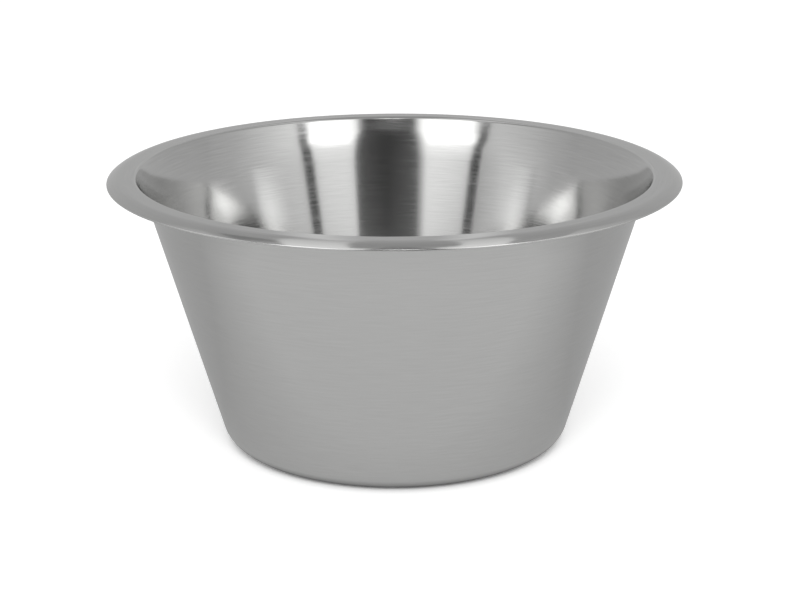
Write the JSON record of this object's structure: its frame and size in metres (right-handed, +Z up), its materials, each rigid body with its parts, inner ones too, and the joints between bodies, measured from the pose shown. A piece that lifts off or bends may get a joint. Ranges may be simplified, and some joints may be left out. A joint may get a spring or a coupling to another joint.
{
  "type": "conical bowl",
  "caption": "Conical stainless-steel kitchen bowl drawn from sheet: flat base, straight flaring wall and a flat rim flange rolled down at its edge. Stands on a table and holds or mixes food.",
  "frame": {"origin": "middle of the standing plane, under the base", "axes": "+Z up along the bowl's axis, out of its mouth; X and Y are any two directions square to it"},
  "size_m": [0.2, 0.2, 0.0972],
  "materials": {
    "satin_stainless": "satin ground round the axis, fine lines that run round the bowl inside and out"
  },
  "bodies": {
    "root": {"bowl_shell": "satin_stainless"}
  },
  "joints": []
}
